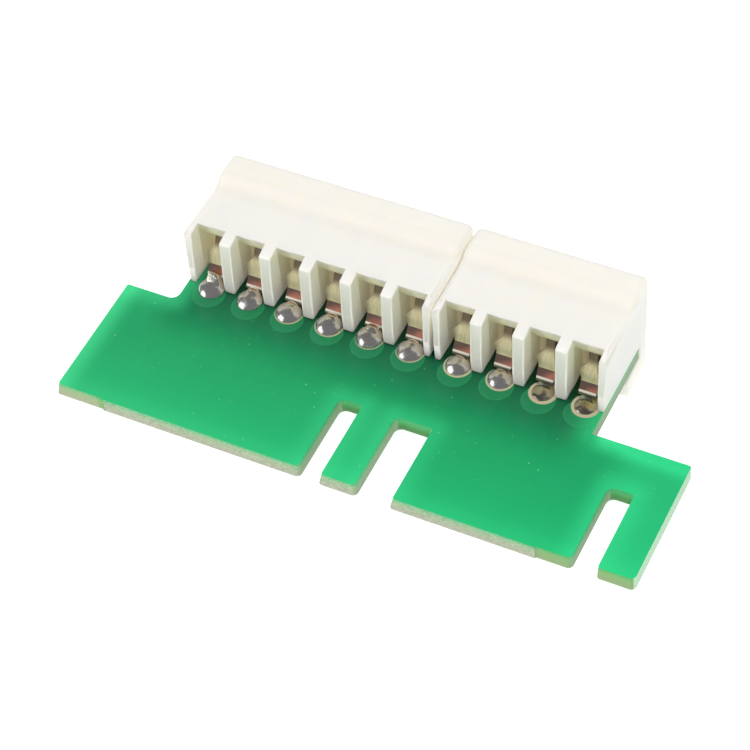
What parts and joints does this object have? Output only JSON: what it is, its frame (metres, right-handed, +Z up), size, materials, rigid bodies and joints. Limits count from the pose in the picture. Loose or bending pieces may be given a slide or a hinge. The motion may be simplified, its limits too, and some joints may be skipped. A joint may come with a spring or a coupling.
{
  "type": "water heater control board",
  "caption": "Keyed card-edge adapter board with two comb-fronted contact housings along its back edge, for joining harness plugs inside a water heater control.",
  "frame": {"origin": "middle of the footprint, at the lowest level, which is the underside of the housings' hooks", "axes": "+X along the board from the wider tongue to the narrow end tongue, +Y from the tongues to the housings' mouths, +Z up out of the bare face of the board"},
  "size_m": [0.0548, 0.0252, 0.0109],
  "materials": {
    "laminate": "glossy green solder mask over glass laminate with pale cut edges",
    "housing": "satin off-white nylon",
    "contact": "bright tin plate over brass",
    "solder": "bright solder",
    "track": "tinned copper fingers, and tracks under green mask"
  },
  "bodies": {
    "root": {"circuit_board": "laminate", "six_way_housing": "housing", "four_way_housing": "housing", "contact_1": "contact", "solder_joint_1": "solder", "track_1": "track", "contact_2": "contact", "solder_joint_2": "solder", "track_2": "track", "contact_3": "contact", "solder_joint_3": "solder", "track_3": "track", "contact_4": "contact", "solder_joint_4": "solder", "track_4": "track", "contact_5": "contact", "solder_joint_5": "solder", "track_5": "track", "contact_6": "contact", "solder_joint_6": "solder", "track_6": "track", "contact_7": "contact", "solder_joint_7": "solder", "track_7": "track", "contact_8": "contact", "solder_joint_8": "solder", "track_8": "track", "contact_9": "contact", "solder_joint_9": "solder", "track_9": "track", "contact_10": "contact", "solder_joint_10": "solder", "track_10": "track"}
  },
  "joints": []
}
